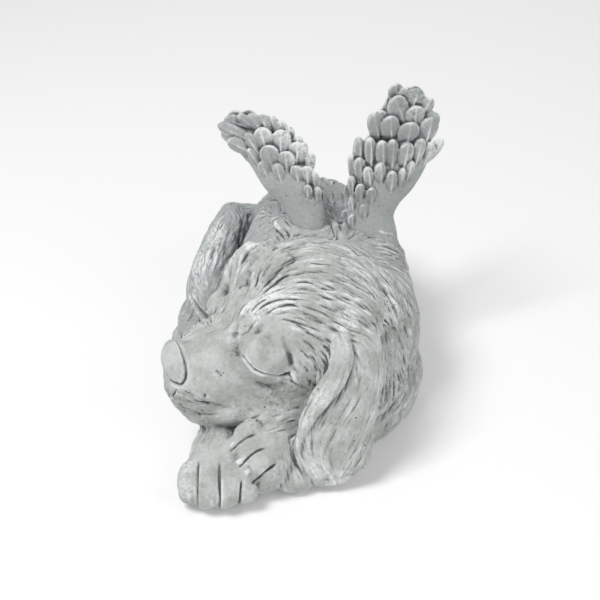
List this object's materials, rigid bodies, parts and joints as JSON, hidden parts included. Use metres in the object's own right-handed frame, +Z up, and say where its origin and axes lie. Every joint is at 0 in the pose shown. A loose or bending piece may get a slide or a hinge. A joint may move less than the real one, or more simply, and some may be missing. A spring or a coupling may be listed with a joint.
{
  "type": "pet memorial statue",
  "caption": "Garden memorial statue of a winged puppy asleep on its crossed front paws, cast in one piece in grey stone and resting on its flat underside.",
  "frame": {"origin": "a point of the flat underside, under the middle of the trunk", "axes": "+X towards the puppy's left side, +Y towards its rump along the statue's length, +Z up"},
  "size_m": [0.1581, 0.2492, 0.167],
  "materials": {
    "cast_stone": "grey-green cast stone, dark in the carved lines and brushed pale on the raised ones"
  },
  "bodies": {
    "root": {"sleeping_puppy": "cast_stone"}
  },
  "joints": []
}
